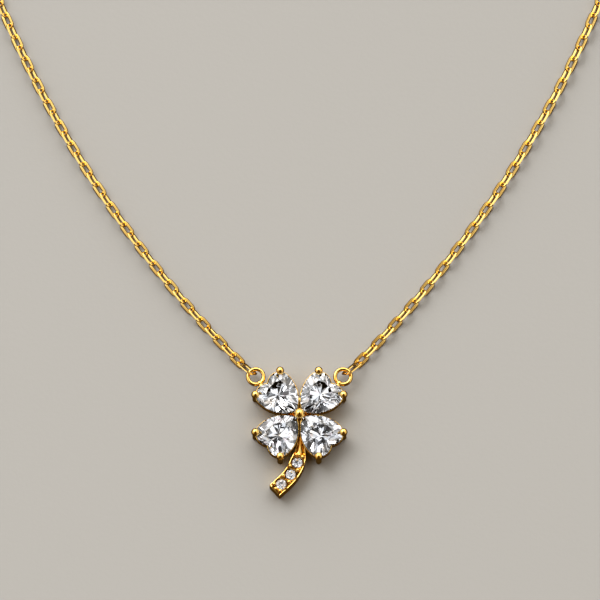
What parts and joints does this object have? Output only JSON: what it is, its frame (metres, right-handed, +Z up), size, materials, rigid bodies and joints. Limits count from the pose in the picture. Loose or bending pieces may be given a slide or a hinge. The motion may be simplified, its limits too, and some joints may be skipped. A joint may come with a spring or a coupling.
{
  "type": "four leaf clover necklace",
  "caption": "Four leaf clover pendant of heart-cut stones with a stone-set curved stem, fixed by side rings into a closed loop of fine cable chain.",
  "frame": {"origin": "under the middle of the whole necklace, on the surface that it lies on", "axes": "+Z up out of the stones' tables, +Y from the pendant to the clasp, +X to the wearer's left"},
  "size_m": [0.0982, 0.1682, 0.0033],
  "materials": {
    "gold": "polished yellow gold plate",
    "stone": "clear colourless cut stone, polished"
  },
  "bodies": {
    "root": {"clover_setting": "gold", "heart_stone_upper_right": "stone", "heart_stone_upper_left": "stone", "heart_stone_lower_left": "stone", "heart_stone_lower_right": "stone", "stem_stone_top": "stone", "stem_stone_middle": "stone", "stem_stone_bottom": "stone", "chain_left": "gold", "chain_right": "gold", "clasp": "gold"}
  },
  "joints": []
}
